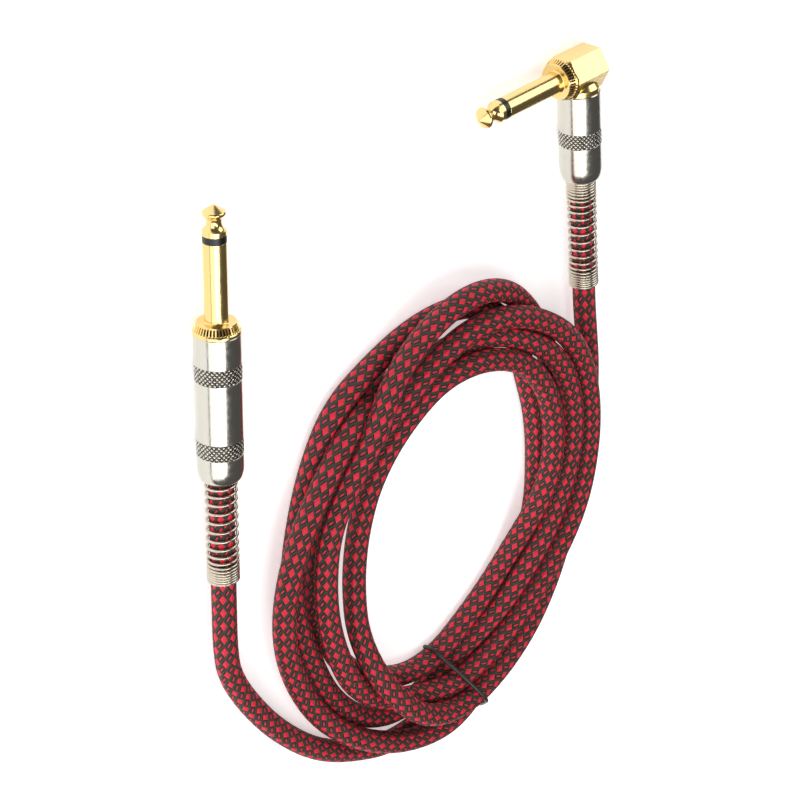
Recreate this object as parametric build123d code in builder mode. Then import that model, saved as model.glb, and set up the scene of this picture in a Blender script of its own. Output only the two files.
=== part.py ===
from build123d import *

import math
import os

# Instrument cable: a straight plug, an angle plug and a braided lead coiled between them.
#
# It lies on a table at Z = 0. X runs from the straight plug to the angle plug, Y the way the
# straight plug points. The origin is under the middle of the two plugs' common box.

os.makedirs("parts", exist_ok=True)

# ---- plug shaft, in mm, measured from the shoulder towards the tip
shaft_r = 3.175  # quarter-inch plug
shaft_length = 32.1
bulb_r = 3.12
bulb_back = 2.35  # from the point back to the widest part of the tip
neck_r = 1.98
neck_back = 4.95
tip_rear = shaft_length - 8.25
ring_rear = tip_rear - 1.9  # the black ring lies between the tip and the sleeve
rod_r = 1.2
insulator_r = 2.0
collar_length = 3.2
collar_face_r = 5.3
collar_rim_r = 6.4
flute_count = 42

# ---- thread and barrel, measured back from the barrel's front rim
spigot_r = 5.0
spigot_length = 6.6
fit_gap = 0.06
barrel_r = 6.4
barrel_bore_r = spigot_r + fit_gap
barrel_rear_bore_r = 4.75
barrel_rear_bore = 8.6
barrel_round = 4.4
knurl_width = 4.6
knurl_depth = 0.1
liner_r = 4.9
liner_wall = 0.4

# ---- cable and spring
jacket_r = 3.5
core_r = 1.1
wire_r = 0.45
spring_wire_r = 0.42
spring_r = 4.12  # to the middle of its wire
closed_pitch = 0.9
open_turns = 10
spring_overlap = 0.6  # how far the open turns' wire runs into the closed turns at each end
rear_closed = 6.2

# ---- where the plugs lie
straight_tip = Vector(-72.12, 49.13, barrel_r)
hex_across = 11.8
hex_corner = hex_across / math.sqrt(3)
block_length = 13.2
elbow_centre = Vector(65.08, 53.55, hex_corner)
angle_heading = 97.36  # degrees from +X to the way the angle plug's barrel points
angle_dip = 0.8  # the barrel's rear end rests on the table, a little lower than the elbow
boss_end = 6.1  # from the elbow's centre to the barrel's front rim
boss_r = 6.1

# ---- coil and its tie
coil_centre = (15.2, -75.9)
coil_size = (138.0, 158.2)
hole_centre = (18.5, -73.8)
hole_size = (70.0, 86.5)
coil_height = 14.6
coil_edge = 6.0
tie_centre = (22.9, -136.1)
tie_heading = -50.0
tie_span = 43.0
tie_thick = 1.2

up = Vector(0, 0, 1)


def heading(degrees, dip=0.0):
    """The direction at an angle from +X, rising by dip."""
    a, d = math.radians(degrees), math.radians(dip)
    return Vector(math.cos(a) * math.cos(d), math.sin(a) * math.cos(d), math.sin(d))


class Plug:
    """The frames and lengths that the two plugs don't share.

    shaft: X towards the tip, origin at the shoulder. barrel: X forwards along the barrel,
    origin at its front rim. Sketches in both have the radius as Y.
    """

    def __init__(self, name, shaft, barrel, **lengths):
        self.name = name
        self.shaft = shaft
        self.barrel = barrel
        self.rod_end = lengths["rod_end"]
        self.spigot = lengths["spigot"]  # radius and length of the sleeve's rear spigot
        self.length = lengths["length"]
        self.knurls = lengths["knurls"]
        self.jacket_end = lengths["jacket_end"]
        self.spring_inside = lengths["spring_inside"]
        self.spring_closed = lengths["spring_closed"]
        self.spring_open = lengths["spring_open"]
        self.shaft_axis = Axis(shaft.origin, shaft.x_dir)
        self.barrel_axis = Axis(barrel.origin, barrel.x_dir)


def plane_along(origin, direction):
    """A plane whose X is direction and whose Z is as near upright as that allows."""
    side = up.cross(direction)
    return Plane(origin=origin, x_dir=direction, z_dir=direction.cross(side))


def save(builder, label):
    """Names a finished piece and writes its file."""
    builder.part.label = label
    export_step(builder.part, f"parts/{label}.step")


straight_shaft = plane_along(straight_tip - Vector(0, shaft_length, 0), heading(90))
straight_rim = straight_shaft.origin - straight_shaft.x_dir * collar_length
angle_forward = heading(angle_heading, angle_dip)
angle_shaft_way = heading(angle_heading + 90)
angle_shoulder = elbow_centre + angle_shaft_way * (block_length / 2 + collar_length)

straight = Plug(
    "straight",
    straight_shaft,
    plane_along(straight_rim, heading(90)),
    rod_end=-12.8,
    spigot=(spigot_r, spigot_length),
    length=42.7,
    knurls=(8.4, 30.2),
    jacket_end=20.0,
    spring_inside=8.2,
    spring_closed=8.2,
    spring_open=25.1,
)
angle = Plug(
    "angle",
    plane_along(angle_shoulder, angle_shaft_way),
    plane_along(elbow_centre - angle_forward * boss_end, angle_forward),
    rod_end=-9.0,
    spigot=(4.0, 5.0),
    length=28.2,
    knurls=(11.7,),
    jacket_end=12.0,
    spring_inside=2.9,
    spring_closed=9.1,
    spring_open=23.5,
)
plugs = (straight, angle)

# ================================================================ shaft pieces
for plug in plugs:
    rod_end = plug.rod_end
    # the tip, its neck and the rod that carries the signal back through the sleeve
    with BuildPart() as tip_contact:
        with BuildSketch(plug.shaft):
            with BuildLine():
                cone_end = (shaft_length - bulb_back + 0.45, bulb_r - 0.2)
                bulb_end = (shaft_length - bulb_back - 0.6, bulb_r - 0.25)
                flare_end = (tip_rear + 1.3, shaft_r)
                Polyline((rod_end, 0), (shaft_length, 0), cone_end)
                ThreePointArc(cone_end, (shaft_length - bulb_back, bulb_r), bulb_end)
                ThreePointArc(bulb_end, (shaft_length - neck_back, neck_r), flare_end)
                Polyline(
                    flare_end,
                    (tip_rear, shaft_r),
                    (tip_rear, rod_r),
                    (rod_end, rod_r),
                    (rod_end, 0),
                )
            make_face()
        revolve(axis=plug.shaft_axis)
    save(tip_contact, plug.name + "_tip_contact")

    # moulded insulator: the visible black ring and the long tube around the rod
    tube_end = rod_end + 1.6
    with BuildPart() as tip_insulator:
        with BuildSketch(plug.shaft):
            with BuildLine():
                Polyline(
                    (tip_rear, rod_r),
                    (tip_rear, shaft_r),
                    (ring_rear, shaft_r),
                    (ring_rear, insulator_r),
                    (tube_end, insulator_r),
                    (tube_end, rod_r),
                    close=True,
                )
            make_face()
        revolve(axis=plug.shaft_axis)
    save(tip_insulator, plug.name + "_tip_insulator")

    # sleeve: the long shaft, the fluted collar and, behind it, the thread or the press spigot
    spigot, spigot_reach = plug.spigot
    spigot_end = -collar_length - spigot_reach
    with BuildPart() as sleeve:
        with BuildSketch(plug.shaft):
            with BuildLine():
                fillet_start, fillet_end = (0.45, shaft_r), (0, shaft_r + 0.45)
                Polyline(
                    (spigot_end, insulator_r),
                    (ring_rear, insulator_r),
                    (ring_rear, shaft_r),
                    fillet_start,
                )
                RadiusArc(fillet_start, fillet_end, 0.45)
                Polyline(
                    fillet_end,
                    (0, collar_face_r),
                    (-2.2, collar_rim_r - 0.25),
                    (-2.5, collar_rim_r),
                    (-collar_length, collar_rim_r),
                    (-collar_length, spigot),
                    (spigot_end + 0.3, spigot),
                    (spigot_end, spigot - 0.3),
                    (spigot_end, insulator_r),
                )
            make_face()
        revolve(axis=plug.shaft_axis)
        flute_plane = Plane(origin=plug.shaft.origin - plug.shaft.x_dir, z_dir=plug.shaft.x_dir)
        with BuildSketch(flute_plane):
            with PolarLocations(collar_rim_r + 0.1, flute_count):
                Rectangle(1.4, 0.36)
        extrude(amount=1.1, both=True, mode=Mode.SUBTRACT)
    save(sleeve, plug.name + "_sleeve")

# ================================================================ elbow of the angle plug
with BuildPart() as elbow_block:
    block_plane = Plane(
        origin=elbow_centre - angle_shaft_way * block_length / 2, x_dir=up, z_dir=angle_shaft_way
    )
    with BuildSketch(block_plane):
        RegularPolygon(radius=hex_corner, side_count=6)
    extrude(amount=block_length)
    chamfer(elbow_block.faces().sort_by(Axis(elbow_centre, angle_shaft_way))[0].edges(), length=0.5)
    with BuildSketch(angle.barrel):
        with BuildLine():
            Polyline(
                (boss_end, 0),
                (boss_end, 3.4),
                (1.6, boss_r),
                (0.02, boss_r),
                (0.02, spigot_r),
                (-spigot_length + 0.3, spigot_r),
                (-spigot_length, spigot_r - 0.3),
                (-spigot_length, 0),
                close=True,
            )
        make_face()
    revolve(axis=angle.barrel_axis)
    # bore for the sleeve's spigot, then the bore that the contact strip leaves by
    with BuildSketch(Plane(origin=elbow_centre + angle_shaft_way * block_length / 2, z_dir=angle_shaft_way)):
        Circle(4.0)
    extrude(amount=-9.4, mode=Mode.SUBTRACT)
    with BuildSketch(Plane(origin=elbow_centre, z_dir=-angle_forward)):
        Circle(3.0)
    extrude(amount=boss_end + spigot_length, mode=Mode.SUBTRACT)
save(elbow_block, "angle_elbow_block")

# strip that turns the corner from the rod to the solder point inside the barrel
strip_reach = boss_end + spigot_length + 3.0
strip_thick = 0.35
strip_rod_x = block_length / 2 + collar_length + angle.rod_end  # the rod's end, along the shaft
strip_side = elbow_centre + angle_shaft_way * (strip_rod_x - strip_thick)
with BuildPart() as contact_strip:
    with BuildSketch(Plane(origin=strip_side, x_dir=angle_forward, z_dir=angle_shaft_way)):
        with Locations((-strip_reach / 2 + 0.9, 0)):
            Rectangle(strip_reach + 1.8, 1.8)
    extrude(amount=strip_thick)
save(contact_strip, "angle_contact_strip")

# plastic bush that keeps the strip off the elbow's bore
with BuildPart() as strip_bush:
    bush_start = angle.barrel.origin - angle_forward * (spigot_length + 1.0)
    with BuildSketch(Plane(origin=bush_start, x_dir=angle_shaft_way, z_dir=angle_forward)):
        Circle(3.0)
        with Locations((strip_rod_x - strip_thick / 2, 0)):
            Rectangle(strip_thick + 0.1, 1.9, mode=Mode.SUBTRACT)
    extrude(amount=8.6)
save(strip_bush, "angle_strip_bush")

# washer and solder lug on the rear end of the straight plug's rod
with BuildPart() as rear_washer:
    with BuildSketch(straight.shaft):
        with BuildLine():
            washer_front = -collar_length - spigot_length - 0.6
            Polyline(
                (washer_front, insulator_r),
                (washer_front, 3.6),
                (washer_front - 0.7, 3.6),
                (washer_front - 0.7, insulator_r),
                close=True,
            )
        make_face()
    revolve(axis=straight.shaft_axis)
save(rear_washer, "straight_rear_washer")

lug_front = straight.rod_end + 1.6
lug_tab = 5.5
with BuildPart() as tip_lug:
    with BuildSketch(straight.shaft):
        with BuildLine():
            Polyline(
                (lug_front, rod_r),
                (lug_front, 2.4),
                (lug_front - 0.5, 2.4),
                (lug_front - 0.5, rod_r),
                close=True,
            )
        make_face()
    revolve(axis=straight.shaft_axis)
    with BuildSketch(straight.shaft.offset(1.7)):
        with Locations((lug_front - lug_tab / 2, 0)):
            SlotOverall(lug_tab, 1.8)
        with Locations((lug_front - lug_tab + 0.6, 0)):
            Circle(0.5, mode=Mode.SUBTRACT)
    extrude(amount=0.4)
save(tip_lug, "straight_tip_lug")

# ================================================================ pieces inside each barrel
for plug in plugs:
    front = -plug.jacket_end
    rim = plug.barrel
    # ring on the rear of the thread, strap below the cable, and the clamp crimped round its jacket
    clamp_length = 4.2
    strap_low, strap_high = -4.3, -3.75
    with BuildPart() as cable_clamp:
        with BuildSketch(rim):
            with BuildLine():
                Polyline(
                    (-spigot_length, 3.05),
                    (-spigot_length, 4.4),
                    (-spigot_length - 0.55, 4.4),
                    (-spigot_length - 0.55, 3.05),
                    close=True,
                )
            make_face()
        revolve(axis=plug.barrel_axis)
        with BuildSketch(rim.offset(strap_low)):
            with Locations(((front - clamp_length - spigot_length) / 2, 0)):
                Rectangle(plug.jacket_end + clamp_length - spigot_length, 1.9)
        extrude(amount=strap_high - strap_low)
        clamp_plane = Plane(origin=rim.from_local_coords((front - clamp_length, 0, 0)), z_dir=rim.x_dir)
        with BuildSketch(clamp_plane):
            Circle(jacket_r + 0.75)
            Circle(jacket_r, mode=Mode.SUBTRACT)
        extrude(amount=clamp_length - 0.4)
    save(cable_clamp, plug.name + "_cable_clamp")

    # insulated signal core and its bare wire, from the jacket's end to the solder point
    core_end = front + (4.5 if plug is straight else 2.0)
    wire_end = core_end + (4.0 if plug is straight else 2.4)
    with BuildPart() as signal_core:
        with BuildSketch(Plane(origin=rim.from_local_coords((front, 0, 0)), z_dir=rim.x_dir)):
            Circle(core_r)
        extrude(amount=core_end - front)
    save(signal_core, plug.name + "_signal_core")

    with BuildPart() as signal_wire:
        with BuildSketch(Plane(origin=rim.from_local_coords((core_end, 0, 0)), z_dir=rim.x_dir)):
            Circle(wire_r)
        extrude(amount=wire_end - core_end)
    save(signal_wire, plug.name + "_signal_wire")

    # screen of the cable, twisted into a tail that lies on the strap
    tail_height = strap_high + 0.6
    tail_length = plug.jacket_end - spigot_length - 2.6
    with BuildPart() as screen_tail:
        with BuildSketch(Plane(origin=rim.from_local_coords((front, 0, tail_height)), z_dir=rim.x_dir)):
            Circle(0.6)
        extrude(amount=tail_length)
    save(screen_tail, plug.name + "_screen_tail")

    # drop of solder on the screen's tail
    with BuildPart() as ground_solder:
        solder_at = rim.from_local_coords((front + tail_length, 0, tail_height))
        with BuildSketch(Plane(origin=solder_at, z_dir=rim.x_dir)):
            Circle(0.6)
        extrude(amount=0.9, taper=12)
    save(ground_solder, plug.name + "_ground_solder")

    # insulating tube between the solder points and the barrel, which moves with the barrel
    liner_front = -spigot_length - 0.9
    liner_rear = -(plug.length - barrel_rear_bore) + 0.4
    with BuildPart() as liner:
        with BuildSketch(rim):
            with BuildLine():
                Polyline(
                    (liner_front, liner_r - liner_wall),
                    (liner_front, liner_r),
                    (liner_rear, liner_r),
                    (liner_rear, liner_r - liner_wall),
                    close=True,
                )
            make_face()
        revolve(axis=plug.barrel_axis)
    save(liner, plug.name + "_liner")

    # barrel with its knurled bands
    end = -plug.length
    with BuildPart() as barrel:
        with BuildSketch(rim):
            with BuildLine():
                round_start, round_end = (end + barrel_round, barrel_r), (end + 0.3, barrel_r - 1.0)
                Polyline((0, barrel_bore_r), (0, barrel_r - 0.15), (-0.15, barrel_r), round_start)
                TangentArc(round_start, round_end, tangent=(-1, 0))
                Polyline(
                    round_end,
                    (end, barrel_r - 1.35),
                    (end, barrel_rear_bore_r),
                    (end + barrel_rear_bore, barrel_rear_bore_r),
                    (end + barrel_rear_bore, barrel_bore_r),
                    (0, barrel_bore_r),
                )
            make_face()
            for knurl in plug.knurls:
                with Locations((-knurl - knurl_width / 2, barrel_r)):
                    Rectangle(knurl_width, 2 * knurl_depth, mode=Mode.SUBTRACT)
        revolve(axis=plug.barrel_axis)
    save(barrel, plug.name + "_barrel")

    # strain-relief spring: close-wound at both ends, open between them
    closed = plug.spring_closed
    spring_front = end + plug.spring_inside
    open_front = spring_front - closed
    open_rear = open_front - plug.spring_open
    turn_depth = spring_wire_r * 0.35  # how deep the valley between two closed turns is
    with BuildPart() as spring:
        for start, length in ((spring_front, closed), (open_rear, rear_closed)):
            turns = round(length / closed_pitch)
            with BuildSketch(rim):
                with Locations((start - length / 2, spring_r)):
                    Rectangle(length, 2 * (spring_wire_r - turn_depth))
                for turn in range(turns):
                    with Locations((start - (turn + 0.5) * length / turns, spring_r)):
                        Circle(spring_wire_r)
            revolve(axis=plug.barrel_axis)
        reach = plug.spring_open + 2 * spring_overlap
        with BuildLine():
            coil_line = Helix(
                pitch=reach / open_turns,
                height=reach,
                radius=spring_r,
                center=rim.from_local_coords((open_front + spring_overlap, 0, 0)),
                direction=-rim.x_dir,
            )
        with BuildSketch(Plane(origin=coil_line @ 0, z_dir=coil_line % 0)):
            Circle(spring_wire_r)
        sweep(path=coil_line, is_frenet=True)
    save(spring, plug.name + "_spring")

# ================================================================ cable
# straight end of the jacket, through the clamp and the spring
slack = {"straight": 11.8, "angle": 7.0}
for plug in plugs:
    outside = plug.spring_closed - plug.spring_inside + plug.spring_open + rear_closed
    jacket_length = plug.length - plug.jacket_end + outside + slack[plug.name]
    jacket_cut = plug.barrel.from_local_coords((-plug.jacket_end, 0, 0))
    with BuildPart() as jacket_end:
        with BuildSketch(Plane(origin=jacket_cut, z_dir=-plug.barrel.x_dir)):
            Circle(jacket_r)
        extrude(amount=jacket_length)
    save(jacket_end, plug.name + "_cable_end")
    plug.leaves_at = plug.barrel.from_local_coords((-plug.jacket_end - jacket_length, 0, 0))


def lead(label, points):
    """A tube along straight runs and tangent arcs, with each radius printed."""
    points = [Vector(*p) for p in points]
    radii = []
    for before, at, after in zip(points, points[1:], points[2:]):
        into, out = at - before, after - at
        half = math.radians(into.get_angle(out)) / 2
        radii.append(0.45 * min(into.length, out.length) / math.tan(half))
    with BuildPart() as tube:
        with BuildLine():
            path = FilletPolyline(*points, radius=radii)
        with BuildSketch(Plane(origin=path @ 0, z_dir=path % 0)):
            Circle(jacket_r)
        sweep(path=path)
    save(tube, label)
    section = math.pi * jacket_r**2
    print(label, "radii", [round(r, 1) for r in radii])
    volume_ratio = tube.part.volume / (section * path.length)
    print(label, "length", round(path.length, 1), "volume ratio", round(volume_ratio, 4))


straight_out = straight.leaves_at
angle_out = angle.leaves_at
lead(
    "straight_lead",
    [
        straight_out,
        straight_out + Vector(0, -10.0, 0),
        (-69.5, -93.5, 4.6),
        (-62.0, -107.0, 3.6),
        (-51.2, -121.8, 3.6),
        (-37.0, -135.5, 3.6),
        (-19.8, -146.0, 3.6),
        (-2.0, -151.6, 3.6),
    ],
)
lead(
    "angle_lead",
    [
        angle_out,
        angle_out - angle_forward * 8.0,
        (80.3, -46.0, 4.2),
        (81.6, -60.0, 3.6),
        (80.6, -74.0, 3.6),
    ],
)

# the coil: one solid with the outer shape of its turns, let in where the tie goes round it
tie_way = heading(tie_heading)
tie_plane = Plane(origin=(*tie_centre, 0), x_dir=tie_way, z_dir=tie_way.cross(up))
tie_height = coil_height + tie_thick / 2
inside_span = tie_span - 2 * tie_thick
inside_height = tie_height - 2 * tie_thick
with BuildPart() as coil:
    with BuildSketch():
        with Locations(coil_centre):
            Ellipse(coil_size[0] / 2, coil_size[1] / 2)
        with Locations(hole_centre):
            Ellipse(hole_size[0] / 2, hole_size[1] / 2, mode=Mode.SUBTRACT)
    extrude(amount=coil_height)
    fillet(coil.edges().filter_by(GeomType.CIRCLE, reverse=True).filter_by(Plane.XY), radius=coil_edge)
    with BuildSketch(tie_plane):
        with Locations((0, tie_height / 2)):
            Rectangle(tie_span + 20, coil_height + 20)
            RectangleRounded(inside_span - 0.4, inside_height - 0.4, 5.1, mode=Mode.SUBTRACT)
    extrude(amount=tie_thick / 2 + 0.1, both=True, mode=Mode.SUBTRACT)
save(coil, "coil")

with BuildPart() as coil_tie:
    with BuildSketch(tie_plane):
        with Locations((0, tie_height / 2)):
            RectangleRounded(tie_span, tie_height, 6.5)
            RectangleRounded(inside_span, inside_height, 5.3, mode=Mode.SUBTRACT)
    extrude(amount=tie_thick / 2, both=True)
save(coil_tie, "coil_tie")
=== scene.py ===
import math

import bpy
import numpy as np
from mathutils import Matrix, Vector


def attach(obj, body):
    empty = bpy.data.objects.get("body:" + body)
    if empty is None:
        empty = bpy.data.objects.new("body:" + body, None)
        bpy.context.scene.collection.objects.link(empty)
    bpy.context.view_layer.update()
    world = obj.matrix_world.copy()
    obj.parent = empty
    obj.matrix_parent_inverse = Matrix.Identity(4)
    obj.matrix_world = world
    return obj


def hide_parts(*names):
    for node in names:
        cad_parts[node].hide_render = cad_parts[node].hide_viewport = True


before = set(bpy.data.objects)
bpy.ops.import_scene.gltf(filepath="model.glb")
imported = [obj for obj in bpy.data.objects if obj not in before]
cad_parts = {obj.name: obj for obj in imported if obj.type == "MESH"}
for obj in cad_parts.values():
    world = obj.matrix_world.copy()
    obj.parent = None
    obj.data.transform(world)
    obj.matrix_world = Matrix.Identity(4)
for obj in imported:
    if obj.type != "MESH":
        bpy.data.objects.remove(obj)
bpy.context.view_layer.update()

# Instrument cable on a pale floor: two plugs and a braided lead coiled between them.
# Lengths in this file are millimetres in the CAD's frame until mm() turns them into metres.


def mm(points):
    """Millimetres to metres, for a number, a point or a list of points."""
    return np.asarray(points, float) / 1000


# ================================================================ camera
camera_place = (-400.51, 251.93, 401.49)
camera_right = Vector((0.7116, 0.0134, 0.7025)).normalized()
camera_back = Vector((-0.6321, 0.4488, 0.6317)).normalized()
camera_lens = 98.70
sensor_width = 36.0


def make_camera():
    """The camera, rolled so that the straight plug points up."""
    data = bpy.data.cameras.new("camera")
    data.lens = camera_lens
    data.sensor_width = sensor_width
    data.clip_end = 20
    camera = bpy.data.objects.new("camera", data)
    bpy.context.collection.objects.link(camera)
    up = camera_back.cross(camera_right).normalized()
    right = up.cross(camera_back)
    turn = Matrix((right, up, camera_back)).transposed()
    camera.matrix_world = Matrix.Translation(mm(camera_place)) @ turn.to_4x4()
    bpy.context.scene.camera = camera


make_camera()

# ================================================================ the cord's route
jacket_r = 3.5
cord_d = 2 * jacket_r
shaft_length = 32.1
collar_length = 3.2
straight_barrel_length = 42.7
angle_barrel_length = 28.2
straight_tip = np.array([-72.12, 49.13, 6.4])
straight_rim = straight_tip - [0, shaft_length + collar_length, 0]
elbow_centre = np.array([65.08, 53.55, 6.813])
angle_turn = math.radians(97.36)
angle_dip = math.radians(0.8)
angle_forward = np.array(
    [
        math.cos(angle_turn) * math.cos(angle_dip),
        math.sin(angle_turn) * math.cos(angle_dip),
        math.sin(angle_dip),
    ]
)
boss_end = 6.1
angle_rim = elbow_centre - angle_forward * boss_end
straight_forward = np.array([0.0, 1.0, 0.0])

straight_cut = straight_rim - straight_forward * 20.0
straight_out = np.array([-72.12, -72.0, 6.4])
angle_cut = angle_rim - angle_forward * 12.0
angle_out = np.array([74.9, -23.1, 5.7])

start_points = [
    straight_cut,
    straight_cut - straight_forward * 14,
    straight_cut - straight_forward * 30,
    straight_cut - straight_forward * 47,
    straight_out,
    (-72.12, -82.0, 6.4),
    (-69.5, -93.5, 4.6),
    (-62.0, -107.0, 3.6),
    (-51.2, -121.8, 3.6),
    (-37.0, -135.5, 3.6),
]
end_points = [
    (81.6, -60.0, 3.6),
    (80.3, -46.0, 4.2),
    (77.2, -33.5, 5.2),
    angle_out,
    angle_cut - angle_forward * 36,
    angle_cut - angle_forward * 22,
    angle_cut - angle_forward * 10,
    angle_cut,
]

# The coil's stations: degrees turned since +X, distance from the coil's centre, and the height
# of the cord's centreline. coil_points works the turns out between them.
coil_centre = np.array([18.53, -73.77])
coil_stations = [
    (239, 82, 3.5), (255, 79.5, 3.5), (270, 73.5, 3.5), (285, 64, 3.5), (300, 56, 3.5),
    (315, 49, 3.5), (337, 42.5, 3.5), (360, 39.5, 3.5), (383, 42.5, 3.5), (405, 46.5, 3.5),
    (423, 56.5, 3.5), (437, 64, 3.5), (450, 66.5, 3.5), (474, 67, 3.5), (495, 66, 3.5),
    (517, 64, 3.5), (540, 64, 3.5), (563, 63.8, 3.5), (577, 66.3, 3.5), (597, 71.5, 3.5),
    (610, 70.5, 3.5), (627, 62, 3.8), (650, 50, 7), (675, 42.3, 10.2), (697, 44.5, 10.5),
    (720, 48.5, 10.5), (743, 53, 10.5), (765, 57, 10.5), (787, 58, 10), (798, 57, 7.5),
    (810, 54, 4), (832, 56.5, 4.5), (855, 65, 9), (877, 67.3, 10.3), (897, 69.8, 8.5),
    (912, 71.6, 5.8), (930, 73.3, 3.9), (945, 75.6, 4.5), (962, 77.2, 9), (975, 76.8, 10),
    (988, 74.3, 9.4), (1005, 66, 6), (1035, 56, 3.5), (1058, 52, 3.5), (1080, 50, 3.5),
    (1103, 53, 3.5), (1125, 59, 3.5), (1146, 67.2, 5.5), (1158, 71, 9.5), (1170, 72.2, 10.8),
    (1193, 68.3, 11.5), (1215, 61.5, 12.5), (1238, 59.3, 11), (1260, 57.6, 10.5), (1283, 58.6, 10.5),
    (1305, 61, 10.5), (1328, 62, 10.4), (1348, 60.5, 10.3), (1372, 57.5, 10.2), (1395, 55.5, 10.2),
    (1418, 56.3, 10.5), (1440, 57.5, 10.5), (1463, 61, 10.5), (1485, 64.6, 10.5), (1508, 64.6, 10.8),
    (1530, 62, 10.6), (1552, 57.5, 10.5), (1575, 54.5, 9.5), (1598, 52.6, 5.5), (1620, 55.2, 3.5),
    (1643, 57, 3.5), (1665, 59.2, 3.5), (1688, 57.4, 3.5), (1708, 53.2, 3.5), (1732, 46.6, 3.5),
    (1755, 41, 3.7), (1778, 39.5, 7), (1800, 40, 10.5), (1823, 43.5, 10.5), (1845, 48, 10.5),
    (1868, 51, 10.5), (1890, 51.8, 10.5), (1912, 48.5, 9.8), (1935, 44.5, 8), (1950, 42.3, 6.5),
    (1965, 40.3, 5.2), (1980, 40.3, 4.4), (2003, 46.5, 6.5), (2025, 57, 11), (2047, 64.5, 15),
    (2065, 67, 15.5), (2080, 65, 13.5), (2100, 61, 10.5), (2115, 59.5, 8), (2137, 60, 4.5),
    (2160, 60.5, 3.5),
]  # fmt: skip
points_per_turn = 24


def eased(x, xs, ys):
    """Cubic through (xs, ys) with slopes that never overshoot."""
    xs, ys = np.asarray(xs, float), np.asarray(ys, float)
    step = np.diff(xs)
    rise = np.diff(ys) / step
    slope = np.zeros(len(xs))
    for i in range(1, len(xs) - 1):
        if rise[i - 1] * rise[i] > 0:
            near, far = 2 * step[i] + step[i - 1], step[i] + 2 * step[i - 1]
            slope[i] = (near + far) / (near / rise[i - 1] + far / rise[i])
    slope[0], slope[-1] = rise[0], rise[-1]
    i = np.clip(np.searchsorted(xs, x) - 1, 0, len(step) - 1)
    t = (x - xs[i]) / step[i]
    a = (1 + 2 * t) * (1 - t) ** 2 * ys[i] + t * (1 - t) ** 2 * step[i] * slope[i]
    return a + t * t * (3 - 2 * t) * ys[i + 1] + t * t * (t - 1) * step[i] * slope[i + 1]


def coil_points():
    """Points of the coil's turns, evenly spaced in angle."""
    turned, distance, height = np.array(coil_stations, float).T
    at = np.arange(turned[0], turned[-1] + 0.1, 360 / points_per_turn)
    r = eased(at, turned, distance)
    z = eased(at, turned, height)
    a = np.radians(at)
    return np.stack([coil_centre[0] + r * np.cos(a), coil_centre[1] + r * np.sin(a), z], 1)


strand_gap = 0.05  # kept free between two strands
same_strand = 30.0  # points nearer than this along the cord belong to one strand
push_step = 0.7
straighten = 0.05
straighten_ways = (0.3, 0.3, 0.8)
pull_home = 0.02
sink = 0.005


def settle(points, held, rounds=300):
    """Pushes strands that share space apart, and lets them lie on the floor and on each other."""
    clear = cord_d + strand_gap
    home = points.copy()
    p = points.copy()
    along = np.r_[0, np.cumsum(np.linalg.norm(np.diff(p, axis=0), axis=1))]
    s = np.empty(2 * len(p) - 1)
    s[0::2] = along
    s[1::2] = (along[1:] + along[:-1]) / 2
    for _ in range(rounds):
        # every point and every middle against every run between two of them
        m = np.empty((len(s), 3))
        m[0::2] = p
        m[1::2] = (p[1:] + p[:-1]) / 2
        run = np.diff(m, axis=0)
        t = ((m[:, None] - m[None, :-1]) * run).sum(2) / (run * run).sum(1)
        t = np.clip(t, 0, 1)
        gap = m[:, None] - (m[:-1] + t[..., None] * run)
        reach = np.linalg.norm(gap, axis=2)
        other_strand = np.abs(s[:, None] - (s[:-1] + t * np.diff(s))) > same_strand
        near = other_strand & (reach < clear)
        share = np.where(near, (clear - reach) / np.maximum(reach, 1e-6), 0)
        push = 0.5 * (gap * share[..., None]).sum(1) / np.maximum(near.sum(1), 1)[:, None]
        moved = push[0::2].copy()
        moved[:-1] += 0.5 * push[1::2]
        moved[1:] += 0.5 * push[1::2]
        bend = np.zeros_like(p)
        bend[1:-1] = (p[:-2] + p[2:]) / 2 - p[1:-1]
        p = p + push_step * moved + straighten * np.clip(bend, -1, 1) * straighten_ways
        p += pull_home * (home - p)
        p[:, 2] = np.maximum(p[:, 2] - sink, jacket_r)
        p[held] = home[held]
    return p


turns = coil_points()
route = np.vstack([start_points, turns, end_points])
held = np.ones(len(route), bool)
held[len(start_points) : len(start_points) + len(turns)] = False
route = settle(route, held)


def cord_line(points):
    """The cord's centreline: one open NURBS spline through its route."""
    data = bpy.data.curves.new("cord_line", "CURVE")
    data.dimensions = "3D"
    spline = data.splines.new("NURBS")
    spline.points.add(len(points) - 1)
    for point, place in zip(spline.points, mm(points)):
        point.co = (*place, 1)
    spline.order_u = 3
    spline.use_endpoint_u = True
    spline.resolution_u = 12
    line = bpy.data.objects.new("cord_line", data)
    bpy.context.collection.objects.link(line)
    bpy.context.view_layer.update()
    read = bpy.data.meshes.new_from_object(line)
    path = np.array([v.co for v in read.vertices])
    bpy.data.meshes.remove(read)
    bpy.data.objects.remove(line)
    return path


cord_path = cord_line(route)

# ================================================================ node materials


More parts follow.
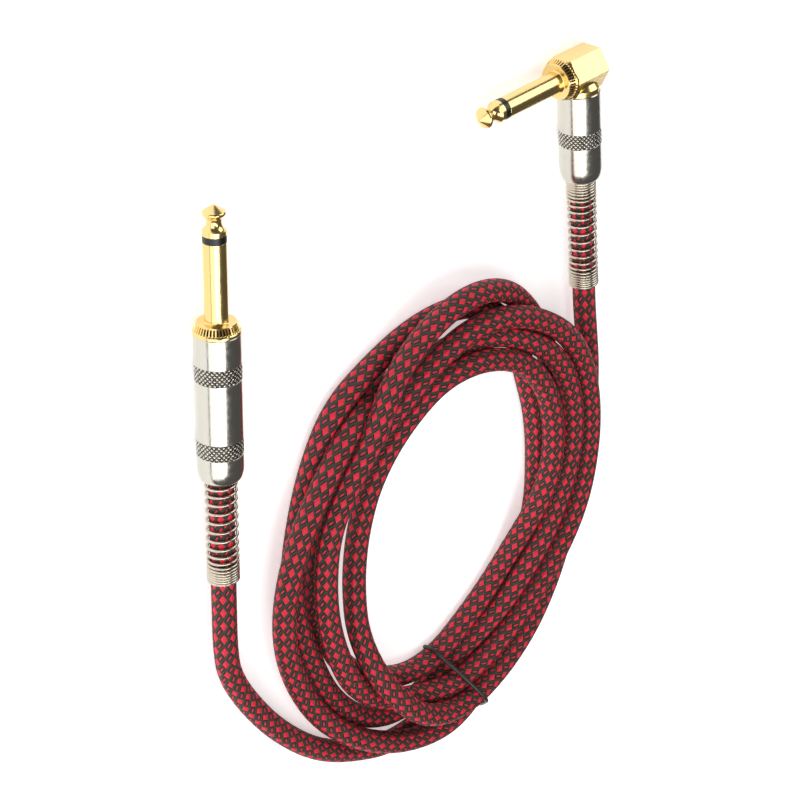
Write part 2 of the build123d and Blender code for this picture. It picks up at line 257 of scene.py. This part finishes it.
class Nodes:
    """A material, with short ways to add and link its nodes."""

    def __init__(self, name):
        self.material = bpy.data.materials.new(name)
        self.material.use_nodes = True
        self.tree = self.material.node_tree
        self.shader = self.tree.nodes["Principled BSDF"]

    def add(self, kind, **settings):
        node = self.tree.nodes.new(kind)
        for key, value in settings.items():
            setattr(node, key, value)
        return node

    def link(self, out, into):
        self.tree.links.new(out, into)

    def math(self, operation, *values):
        node = self.add("ShaderNodeMath", operation=operation)
        for socket, value in zip(node.inputs, values):
            if isinstance(value, (int, float)):
                socket.default_value = value
            else:
                self.link(value, socket)
        return node.outputs[0]

    def step(self, value, start, end, low=0.0, high=1.0):
        """A smooth step between start and end."""
        node = self.add("ShaderNodeMapRange", interpolation_type="SMOOTHSTEP")
        self.link(value, node.inputs["Value"])
        node.inputs["From Min"].default_value = start
        node.inputs["From Max"].default_value = end
        node.inputs["To Min"].default_value = low
        node.inputs["To Max"].default_value = high
        return node.outputs[0]

    def mix(self, factor, first, second):
        node = self.add("ShaderNodeMix", data_type="RGBA")
        self.link(factor, node.inputs["Factor"])
        for socket, value in ((node.inputs[6], first), (node.inputs[7], second)):
            if isinstance(value, tuple):
                socket.default_value = (*value, 1)
            else:
                self.link(value, socket)
        return node.outputs[2]

    def noise(self, scale, detail=3.0, where=None):
        node = self.add("ShaderNodeTexNoise")
        node.inputs["Scale"].default_value = scale
        node.inputs["Detail"].default_value = detail
        if where is None:
            where = self.add("ShaderNodeTexCoord").outputs["Object"]
        self.link(where, node.inputs["Vector"])
        return node.outputs["Fac"]

    def bump(self, height, distance, strength=1.0):
        node = self.add("ShaderNodeBump")
        node.inputs["Strength"].default_value = strength
        node.inputs["Distance"].default_value = distance
        self.link(height, node.inputs["Height"])
        self.link(node.outputs[0], self.shader.inputs["Normal"])

    def set(self, **values):
        for key, value in values.items():
            self.shader.inputs[key.replace("_", " ")].default_value = value


def srgb(*colour):
    """A colour given in 0 to 255 as seen, as linear light."""
    return tuple(((c / 255 + 0.055) / 1.055) ** 2.4 if c > 10 else c / 255 / 12.92 for c in colour)


def metal(name, colour, roughness, uneven=0.05, scale=900.0):
    """Plated metal, with a roughness that varies a little and faint surface waviness."""
    m = Nodes(name)
    m.set(Base_Color=(*colour, 1), Metallic=1.0)
    spread = m.step(m.noise(scale), 0.3, 0.7, roughness - uneven, roughness + uneven)
    m.link(spread, m.shader.inputs["Roughness"])
    m.bump(m.noise(scale / 4, 2.0), 0.00002, 0.25)
    return m.material


def matte(name, colour, roughness, scale=1500.0):
    """Plastic, rubber or board: a slightly uneven colour and a fine grain."""
    m = Nodes(name)
    darker = tuple(c * 0.8 for c in colour)
    m.link(m.mix(m.noise(scale), darker, colour), m.shader.inputs["Base Color"])
    m.set(Roughness=roughness)
    m.bump(m.noise(scale * 2), 0.00003, 0.4)
    return m.material


cell_along = 4.2  # from one big red square to the next along the cord
squares_around = 8
around = 2 * math.pi * jacket_r
# where each shape in a cell starts and ends to fade, from the cell's centre
square_rim = (0.355, 0.385)
square_shadow = (0.355, 0.38)
dash_end = (0.23, 0.29)
dash_side = (0.09, 0.13)
filaments = 11
yarn_relief = 0.00045


def braid(name):
    """Red pick-ups in a dark braid. The UV map is in millimetres: U around, V along.

    a and b count cells along the two directions that the yarns run in. Cells where the two
    counts add up to an even number hold a big square, and the others hold a small dash.
    """
    m = Nodes(name)
    flat = m.add("ShaderNodeTexCoord").outputs["UV"]
    uv = m.add("ShaderNodeSeparateXYZ")
    m.link(flat, uv.inputs[0])
    shift = m.math("MULTIPLY_ADD", m.noise(0.35, 2.0, flat), 0.16, -0.08)
    lengthwise = m.math("ADD", m.math("DIVIDE", uv.outputs[1], cell_along), shift)
    crosswise = m.math("DIVIDE", uv.outputs[0], around / squares_around)
    a = m.math("ADD", lengthwise, crosswise)
    b = m.math("SUBTRACT", lengthwise, crosswise)
    near_a = m.math("ROUND", a)
    near_b = m.math("ROUND", b)
    off_a = m.math("SUBTRACT", a, near_a)
    off_b = m.math("SUBTRACT", b, near_b)
    wide_a = m.math("ABSOLUTE", off_a)
    wide_b = m.math("ABSOLUTE", off_b)
    odd = m.math("ABSOLUTE", m.math("MODULO", m.math("ADD", near_a, near_b), 2.0))
    odd = m.math("GREATER_THAN", odd, 0.5)
    even = m.math("SUBTRACT", 1.0, odd)
    rim = m.math("MAXIMUM", wide_a, wide_b)
    square = m.math("MULTIPLY", even, m.step(rim, *square_rim, 1.0, 0.0))
    dash_long = m.step(wide_a, *dash_end, 1.0, 0.0)
    dash_narrow = m.step(wide_b, *dash_side, 1.0, 0.0)
    dash = m.math("MULTIPLY", odd, m.math("MULTIPLY", dash_long, dash_narrow))
    # fine filaments along each dark yarn
    over = m.math("MULTIPLY", even, m.math("GREATER_THAN", wide_a, wide_b))
    across = m.add("ShaderNodeMix", data_type="FLOAT")
    m.link(over, across.inputs[0])
    m.link(off_b, across.inputs[2])
    m.link(off_a, across.inputs[3])
    wave = m.math("SINE", m.math("MULTIPLY", across.outputs[0], 2 * math.pi * filaments))
    thread = m.math("MULTIPLY_ADD", wave, 0.5, 0.5)
    # painted shade, near black, in the gaps: on two sides of each square and along both sides of
    # each dash
    beside = m.math("MULTIPLY", m.step(off_a, *square_shadow), m.step(wide_b, 0.38, 0.3))
    lower = m.step(off_b, -square_shadow[0], -square_shadow[1])
    below = m.math("MULTIPLY", lower, m.step(wide_a, 0.34, 0.26))
    square_painted_shade = m.math("MULTIPLY", even, m.math("MAXIMUM", beside, below))
    both_sides = m.math("MULTIPLY", m.step(wide_b, 0.13, 0.16), m.step(wide_b, 0.26, 0.20))
    dash_painted_shade = m.math("MULTIPLY", odd, m.math("MULTIPLY", both_sides, m.step(wide_a, 0.42, 0.34)))
    gap = m.math("MAXIMUM", square_painted_shade, dash_painted_shade)
    fuzz = m.noise(9000.0, 4.0)
    lit = m.math("ADD", m.math("MULTIPLY", thread, 0.55), m.math("MULTIPLY", fuzz, 0.5))
    yarn = m.mix(m.step(lit, 0.2, 0.95), srgb(20, 17, 15), srgb(100, 91, 80))
    # the yarn with the painted shade of the gaps mixed in
    dark = m.mix(m.math("MULTIPLY", gap, 0.92), yarn, srgb(10, 6, 8))
    strand = m.mix(m.step(fuzz, 0.35, 0.65), srgb(214, 26, 48), srgb(244, 58, 78))
    red = m.math("MAXIMUM", square, m.math("MULTIPLY", dash, 0.85))
    m.link(m.mix(red, dark, strand), m.shader.inputs["Base Color"])
    m.set(Roughness=0.6, Specular_IOR_Level=0.35)
    # squares stand highest, then dashes, then the dark yarns, and the gaps lie lowest
    dome = m.math("MULTIPLY", square, m.step(rim, 0.37, 0.05, 0.5, 1.0))
    low = m.math("MULTIPLY_ADD", thread, 0.15, 0.4)
    low = m.math("SUBTRACT", low, m.math("MULTIPLY", gap, 0.4))
    height = m.math("MAXIMUM", m.math("MAXIMUM", dome, m.math("MULTIPLY", dash, 0.6)), low)
    height = m.math("ADD", height, m.math("MULTIPLY", fuzz, 0.1))
    m.bump(height, yarn_relief)
    return m.material


gold = metal("gold", srgb(238, 208, 140), 0.2, 0.04)
nickel = metal("nickel", srgb(206, 203, 192), 0.2, 0.04)
# darker copies of the plating: painted shade for the sleeves' flutes and the knurl's grooves
gold_painted_shade = metal("gold_painted_shade", srgb(96, 66, 24), 0.4, 0.06)
nickel_painted_shade = metal("nickel_painted_shade", srgb(82, 76, 68), 0.4, 0.06)
steel = metal("spring_steel", srgb(206, 196, 180), 0.25, 0.05)
brass = metal("tinned_brass", srgb(196, 190, 178), 0.3)
copper = metal("copper", srgb(205, 130, 90), 0.3)
solder = metal("solder", srgb(170, 170, 168), 0.4)
black = matte("black_plastic", srgb(22, 20, 20), 0.35)
phenolic = matte("phenolic", srgb(92, 52, 30), 0.5)
insulation = matte("core_insulation", srgb(225, 222, 214), 0.4)
screen = metal("braid_screen", srgb(176, 120, 88), 0.4, 0.08, 2500.0)
tie_rubber = matte("tie", srgb(38, 38, 30), 0.38, 2200.0)
braided = braid("braided_jacket")


def see_through(name):
    """Clear plastic tube: slightly uneven, mostly letting light through."""
    m = Nodes(name)
    tint = m.mix(m.noise(700.0), (0.86, 0.86, 0.84), (0.93, 0.93, 0.92))
    m.link(tint, m.shader.inputs["Base Color"])
    m.set(Roughness=0.3, IOR=1.45, Transmission_Weight=0.7)
    return m.material


liner_plastic = see_through("clear_liner")

# the finish of each CAD node, by its whole name or its name without the plug's
finish_of = {
    "tip_contact": gold,
    "tip_insulator": black,
    "sleeve": gold,
    "cable_clamp": brass,
    "signal_core": insulation,
    "signal_wire": copper,
    "screen_tail": screen,
    "ground_solder": solder,
    "liner": liner_plastic,
    "rear_washer": phenolic,
    "tip_lug": brass,
    "elbow_block": gold,
    "contact_strip": brass,
    "strip_bush": phenolic,
    "barrel": nickel,
    "spring": steel,
    "cable_end": braided,
    "lead": braided,
    "coil": braided,
    "coil_tie": tie_rubber,
}

for name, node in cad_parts.items():
    key = name if name in finish_of else name.split("_", 1)[1]
    node.data.materials.clear()
    node.data.materials.append(finish_of[key])


# ================================================================ mesh helpers
def mesh_piece(name, verts, faces, material, body, uvs=None, sharp=None):
    """A smooth-shaded mesh on a body. Edges bent by more than sharp degrees stay sharp."""
    data = bpy.data.meshes.new(name)
    data.from_pydata([tuple(v) for v in mm(verts)], [], [tuple(map(int, f)) for f in faces])
    data.update()
    data.shade_smooth()
    if sharp:
        data.set_sharp_from_angle(angle=math.radians(sharp))
    if uvs is not None:
        layer = data.uv_layers.new(name="UVMap")
        layer.data.foreach_set("uv", np.asarray(uvs, np.float32).reshape(-1))
    data.materials.append(material)
    piece = bpy.data.objects.new(name, data)
    bpy.context.collection.objects.link(piece)
    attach(piece, body)
    return piece


def darken(piece, shade_material, columns, deep):
    """Gives the faces whose four corners are mostly deep the painted shade material, a darker copy
    of the piece's own metal.
    """
    piece.data.materials.append(shade_material)
    deep = np.asarray(deep)
    for face in piece.data.polygons:
        corners = np.array(face.vertices)
        face.material_index = int(deep[corners // columns, corners % columns].mean() > 0.5)


def grid_faces(rows, columns, closed):
    """Quads of a grid that goes all the way around, and back to its first row when closed."""
    faces = []
    for i in range(rows if closed else rows - 1):
        n = (i + 1) % rows
        for j in range(columns):
            k = (j + 1) % columns
            faces.append((i * columns + j, i * columns + k, n * columns + k, n * columns + j))
    return faces


def rings(path, radius, sides, closed=False):
    """Rings around a path, carried along it without twist."""
    path = np.asarray(path, float)
    if closed:
        tangent = np.roll(path, -1, 0) - np.roll(path, 1, 0)
    else:
        tangent = np.gradient(path, axis=0)
    tangent /= np.linalg.norm(tangent, axis=1)[:, None]
    side = np.cross(tangent[0], [0, 0, 1.0])
    if np.linalg.norm(side) < 0.1:
        side = np.cross(tangent[0], [1.0, 0, 0])
    sides_of = []
    for t in tangent:
        side = side - t * side.dot(t)
        side /= np.linalg.norm(side)
        sides_of.append(side)
    sides_of = np.array(sides_of)
    if closed:
        last = sides_of[-1] - tangent[0] * sides_of[-1].dot(tangent[0])
        last /= np.linalg.norm(last)
        error = math.atan2(np.cross(sides_of[0], last).dot(tangent[0]), sides_of[0].dot(last))
        back = -error * np.arange(len(path)) / len(path)
    else:
        back = np.zeros(len(path))
    other = np.cross(tangent, sides_of)
    angle = back[:, None] + np.arange(sides) * 2 * math.pi / sides
    ring = np.cos(angle)[..., None] * sides_of[:, None] + np.sin(angle)[..., None] * other[:, None]
    radius = np.broadcast_to(np.asarray(radius, float).reshape(-1, 1), (len(path), sides))
    return (path[:, None] + ring * radius[..., None]).reshape(-1, 3)


def around_axis(forward, angle):
    """Unit vectors square to forward, at each angle round it."""
    out = np.cross(forward, [0, 0, 1.0])
    out /= np.linalg.norm(out)
    high = np.cross(out, forward)
    return np.cos(angle)[:, None] * out + np.sin(angle)[:, None] * high


def resampled(path, spacing):
    """The same line with even spacing, and how far along it each point is."""
    s = np.r_[0, np.cumsum(np.linalg.norm(np.diff(path, axis=0), axis=1))]
    at = np.linspace(0, s[-1], max(2, int(s[-1] / spacing) + 1))
    return np.stack([np.interp(at, s, path[:, i]) for i in range(3)], 1), at


# ================================================================ cord
cord_sides = 36
cord_ring_spacing = 1.0


def make_cord():
    """The braided cord: a tube round its line, with its UV map in millimetres."""
    path, at = resampled(cord_path * 1000, cord_ring_spacing)
    verts = rings(path, jacket_r, cord_sides)
    rows = len(path)
    faces = grid_faces(rows, cord_sides, False)
    uvs = []
    column = around / cord_sides
    for i in range(rows - 1):
        for j in range(cord_sides):
            u, w = j * column, (j + 1) * column
            uvs += [(u, at[i]), (w, at[i]), (w, at[i + 1]), (u, at[i + 1])]
    first = list(range(cord_sides))[::-1]
    last = [(rows - 1) * cord_sides + j for j in range(cord_sides)]
    faces += [tuple(first), tuple(last)]
    uvs += [(0.0, 0.0)] * (2 * cord_sides)
    cord = mesh_piece("cord", verts, faces, braided, "cable", uvs)
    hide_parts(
        "straight_cable_end", "straight_lead", "coil", "angle_lead", "angle_cable_end"
    )
    return cord


cord = make_cord()

# ================================================================ springs
spring_wire_r = 0.42
spring_r = 4.12
spring_open_turns = 10
spring_rear = 6.2  # length of the closed turns at the rear
closed_pitch = 2 * spring_wire_r + 0.02
pitch_ease = 0.4  # how far the change of pitch reaches into the closed turns, in turns
wire_steps = 40  # a turn
wire_sides = 10


def make_spring(plug, rim, forward, barrel_length, inside, closed, spread):
    """One wire: close-wound over closed, open over spread, and close-wound at the rear.

    It starts inside the barrel, that far from the barrel's rear end.
    """
    front_turns = closed / closed_pitch
    open_end = front_turns + spring_open_turns
    total = open_end + spring_rear / closed_pitch
    half_step = 0.5 * (closed_pitch + spread / spring_open_turns)
    ease_back = pitch_ease * closed_pitch
    # turns made, and how far back the wire is
    stations = [
        (0, 0),
        (front_turns - pitch_ease, closed - ease_back),
        (front_turns - pitch_ease + 1, closed - ease_back + half_step),
        (open_end + pitch_ease - 1, closed + spread + ease_back - half_step),
        (open_end + pitch_ease, closed + spread + ease_back),
        (total, closed + spread + spring_rear),
    ]
    turn = np.linspace(0, total, int(total * wire_steps))
    back = eased(turn, *zip(*stations))
    start = rim - forward * (barrel_length - inside)
    path = start - forward * back[:, None] + spring_r * around_axis(forward, turn * 2 * math.pi)
    verts = rings(path, spring_wire_r, wire_sides)
    faces = grid_faces(len(path), wire_sides, False)
    last_ring = (len(path) - 1) * wire_sides
    faces.append(tuple(range(wire_sides))[::-1])
    faces.append(tuple(range(last_ring, last_ring + wire_sides)))
    name = plug + "_spring_wire"
    spring = mesh_piece(name, verts, faces, steel, plug + "_spring")
    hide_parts(plug + "_spring")


make_spring("straight", straight_rim, straight_forward, straight_barrel_length, 8.2, 8.2, 25.1)
make_spring("angle", angle_rim, angle_forward, angle_barrel_length, 2.9, 9.1, 23.5)

# ================================================================ barrels
barrel_r = 6.4
barrel_edge = 0.15
barrel_bore_r = 5.06
rear_bore_r = 4.75
rear_bore = 8.6
barrel_columns = 288
# the rear end narrows by round_fall over round_length, along part of an ellipse
round_start = 4.4
round_length = 4.1
round_fall = 1.0
round_sweep = math.radians(78)
round_steps = 12
rear_edge = 0.35
knurl_width = 4.6
knurl_rows = 30
knurl_deep = 0.3
knurl_diamonds = 30
knurl_steep = 1.5
knurl_low = 0.02  # how far below the barrel's surface its diamonds stop
knurl_groove = 0.06
valley = 0.36  # the part of each diamond's height that gets the painted shade of a groove


def barrel_profile(length, knurls):
    """(back from the rim, radius) round the shell's section. Knurled rows have no radius yet."""
    profile = [(0, barrel_bore_r), (0, barrel_r - barrel_edge), (barrel_edge, barrel_r)]
    for knurl in knurls:
        end = knurl + knurl_width
        profile += [(knurl - 0.08, barrel_r), (knurl - 0.02, barrel_r - knurl_groove)]
        profile += [(knurl + knurl_width * i / knurl_rows, None) for i in range(knurl_rows + 1)]
        profile += [(end + 0.02, barrel_r - knurl_groove), (end + 0.08, barrel_r)]
    for i in range(round_steps + 1):
        a = round_sweep * i / round_steps
        back = length - round_start + round_length * math.sin(a) / math.sin(round_sweep)
        fallen = round_fall * (1 - math.cos(a)) / (1 - math.cos(round_sweep))
        profile.append((back, barrel_r - fallen))
    profile += [(length, barrel_r - round_fall - rear_edge), (length, rear_bore_r)]
    profile += [(length - rear_bore, rear_bore_r), (length - rear_bore, barrel_bore_r)]
    return profile


def make_barrel(plug, rim, forward, length, knurls):
    """A turned shell, with diamonds cut into its knurled bands."""
    profile = barrel_profile(length, knurls)
    angle = np.arange(barrel_columns) * 2 * math.pi / barrel_columns
    way = around_axis(forward, angle)
    diamond_pitch = 2 * math.pi * barrel_r / knurl_diamonds
    deep = np.zeros((len(profile), barrel_columns))
    verts = []
    for row, (back, r) in enumerate(profile):
        if r is None:
            u = angle * knurl_diamonds / (2 * math.pi)
            v = back / diamond_pitch
            ridge = np.minimum(np.abs((u + v) % 1 - 0.5), np.abs((u - v) % 1 - 0.5)) * 2
            cut = 1 - np.clip(ridge * knurl_steep, 0, 1)
            radius = barrel_r - knurl_low - knurl_deep * cut
            # rows low in the diamonds, marked for painted shade
            deep[row] = ridge < valley
        else:
            radius = np.full(barrel_columns, float(r))
        verts.append(rim - forward * back + way * radius[:, None])
    verts = np.vstack(verts)
    faces = grid_faces(len(profile), barrel_columns, True)
    barrel = mesh_piece(
        plug + "_barrel_shell", verts, faces, nickel, plug + "_barrel", sharp=40
    )
    # painted shade: faces low in the knurl take the darker nickel
    darken(barrel, nickel_painted_shade, barrel_columns, deep)
    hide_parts(plug + "_barrel")


make_barrel("straight", straight_rim, straight_forward, straight_barrel_length, (8.4, 30.2))
make_barrel("angle", angle_rim, angle_forward, angle_barrel_length, (11.7,))

# ================================================================ sleeves
shaft_r = 3.175
tip_length = 8.25
insulator_width = 1.9
insulator_r = 2.0
shaft_fillet = 0.45
shaft_rows = 8
step_r = 4.2
collar_face_r = 5.3
collar_face_edge = 0.15
collar_rim_r = 6.4
edge = 0.08
bevel_front = (-0.06, collar_face_r)
bevel_back = (-2.15, collar_rim_r - 0.2)
bevel_rows = 16
flute_start = 0.14  # of the bevel
flute_end = 0.97
flute_run_in = 0.1
flute_run_out = 0.08
flute_count = 42
flute_deep = 0.6
sleeve_columns = flute_count * 10
spigot_edge = 0.3


def sleeve_profile(spigot_r, spigot_length):
    """(ahead of the shoulder, radius, how deep the flutes are) round the sleeve's section."""
    front = shaft_length - tip_length - insulator_width
    profile = [(front, insulator_r, 0), (front, shaft_r - edge, 0), (front - edge, shaft_r, 0)]
    for k in range(shaft_rows - 1, 0, -1):
        part = k / shaft_rows
        profile.append((front * part + shaft_fillet * (1 - part), shaft_r, 0))
    for k in range(7):
        a = math.radians(15 * k)
        ahead = shaft_fillet - shaft_fillet * math.sin(a)
        profile.append((ahead, shaft_r + shaft_fillet - shaft_fillet * math.cos(a), 0))
    profile += [(0, step_r, 0), (0, collar_face_r - collar_face_edge, 0), (*bevel_front, 0)]
    for k in range(1, bevel_rows + 1):
        t = k / bevel_rows
        run_in = max(0.0, (t - flute_start) / flute_run_in)
        run_out = max(0.0, (flute_end - t) / flute_run_out)
        ahead = bevel_front[0] + (bevel_back[0] - bevel_front[0]) * t
        r = bevel_front[1] + (bevel_back[1] - bevel_front[1]) * t
        profile.append((ahead, r, flute_deep * min(1.0, run_in, run_out)))
    profile += [(-2.4, collar_rim_r - 0.05, 0), (-2.5, collar_rim_r, 0)]
    profile += [(-collar_length + edge, collar_rim_r, 0), (-collar_length, collar_rim_r - edge, 0)]
    end = -collar_length - spigot_length
    profile += [(-collar_length, spigot_r, 0), (end + spigot_edge, spigot_r, 0)]
    profile += [(end, spigot_r - spigot_edge, 0), (end, insulator_r, 0)]
    return profile


def make_sleeve(plug, shoulder, forward, spigot_r, spigot_length):
    """Shaft, fluted collar and spigot, turned in one piece."""
    profile = sleeve_profile(spigot_r, spigot_length)
    angle = np.arange(sleeve_columns) * 2 * math.pi / sleeve_columns
    cut = np.clip((np.cos(angle * flute_count) - 0.05) / 0.5, 0, 1)
    way = around_axis(forward, angle)
    verts = []
    deep = []
    for ahead, r, depth in profile:
        verts.append(shoulder + forward * ahead + way * (r - depth * cut)[:, None])
        # faces deep in the flutes are marked for painted shade
        deep.append(depth * cut > 0.4 * flute_deep)
    faces = grid_faces(len(profile), sleeve_columns, True)
    name = plug + "_sleeve_turned"
    sleeve = mesh_piece(name, np.vstack(verts), faces, gold, "cable", sharp=35)
    # painted shade: the flutes take the darker gold
    darken(sleeve, gold_painted_shade, sleeve_columns, deep)
    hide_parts(plug + "_sleeve")


straight_shoulder = straight_tip - straight_forward * shaft_length
angle_shaft_way = np.array([-math.sin(angle_turn), math.cos(angle_turn), 0.0])
block_length = 13.2
angle_shoulder = elbow_centre + angle_shaft_way * (block_length / 2 + collar_length)
make_sleeve("straight", straight_shoulder, straight_forward, 5.0, 6.6)
make_sleeve("angle", angle_shoulder, angle_shaft_way, 4.0, 5.0)

# ================================================================ tie
tie_r = 0.6
tie_centre = np.array([20.0, -134.0])
tie_turn = math.radians(-57.0)
tie_reach = 34.0
tie_clear = jacket_r + tie_r + 0.03
tie_spacing = 0.8
tie_sides = 16
tie_soften = 3


def turns_right(a, b, c):
    """Whether the way from a by b to c goes straight on or turns right."""
    return (b[0] - a[0]) * (c[1] - a[1]) - (b[1] - a[1]) * (c[0] - a[0]) <= 0


def hull_of(points):
    """The points of a convex hull, in order, starting again at the first."""
    hull = []
    for row in (points, points[::-1]):
        half = []
        for p in row:
            while len(half) > 1 and turns_right(half[-2], half[-1], p):
                half.pop()
            half.append(p)
        hull += half[:-1]
    return np.array(hull + hull[:1])


def make_tie():
    """A band pulled tight round the strands that cross its plane."""
    way = np.array([math.cos(tie_turn), math.sin(tie_turn)])
    normal = np.array([-way[1], way[0]])
    flat = cord_path[:, :2] * 1000 - tie_centre
    side = flat @ normal
    at = flat @ way
    crossings = np.nonzero((side[:-1] * side[1:] < 0) & (np.abs(at[:-1]) < tie_reach))[0]
    outline = []
    for i in crossings:
        for c in np.radians(np.arange(0, 360, 6)):
            high = cord_path[i, 2] * 1000 + tie_clear * math.sin(c)
            outline.append((at[i] + tie_clear * math.cos(c), max(high, tie_r)))
    across, high = hull_of(sorted(outline)).T
    place = np.stack([tie_centre[0] + way[0] * across, tie_centre[1] + way[1] * across, high], 1)
    path = resampled(place, tie_spacing)[0][:-1]
    for _ in range(tie_soften):
        path = (np.roll(path, 1, 0) + 2 * path + np.roll(path, -1, 0)) / 4
    verts = rings(path, tie_r, tie_sides, closed=True)
    faces = grid_faces(len(path), tie_sides, True)
    tie = mesh_piece("tie_band", verts, faces, tie_rubber, "cable")
    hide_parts("coil_tie")


make_tie()


# ================================================================ floor and light
floor_size = 6.0
floor_drop = 0.0002  # keeps the floor from touching what lies on it


def make_floor():
    """A plain pale floor that glows a little, which keeps shadows faint."""
    bpy.ops.mesh.primitive_plane_add(size=floor_size, location=(0, 0, -floor_drop))
    floor = bpy.context.object
    floor.name = "floor"
    m = Nodes("floor")
    m.set(Base_Color=(0.9, 0.9, 0.9, 1), Roughness=0.9, Specular_IOR_Level=0.1)
    m.set(Emission_Color=(1, 1, 1, 1), Emission_Strength=0.52)
    floor.data.materials.append(m.material)


def area_light(name, place, aim, size, power):
    """A rectangular softbox, in metres and watts, facing aim."""
    data = bpy.data.lights.new(name, "AREA")
    data.shape = "RECTANGLE"
    data.size, data.size_y = size
    data.energy = power
    light = bpy.data.objects.new(name, data)
    bpy.context.collection.objects.link(light)
    light.location = place
    light.rotation_euler = (Vector(aim) - Vector(place)).to_track_quat("-Z", "Y").to_euler()


def make_light():
    world = bpy.data.worlds.new("world")
    world.use_nodes = True
    sky = world.node_tree.nodes["Background"]
    sky.inputs[0].default_value = (1, 0.99, 0.97, 1)
    sky.inputs[1].default_value = 0.1
    bpy.context.scene.world = world
    bpy.context.scene.view_settings.view_transform = "Standard"
    # a wide low one over -X, a narrow high one, and a square one over +X and +Y
    area_light("left_softbox", (-1.5, -0.3, 0.85), (0, -0.05, 0.0), (2.4, 1.5), 20)
    area_light("top_softbox", (-0.5, -0.5, 1.5), (0, -0.05, 0), (0.7, 1.6), 13)
    area_light("back_softbox", (1.1, 0.95, 1.1), (0, 0.05, 0), (1.3, 1.3), 12)


make_floor()
make_light()
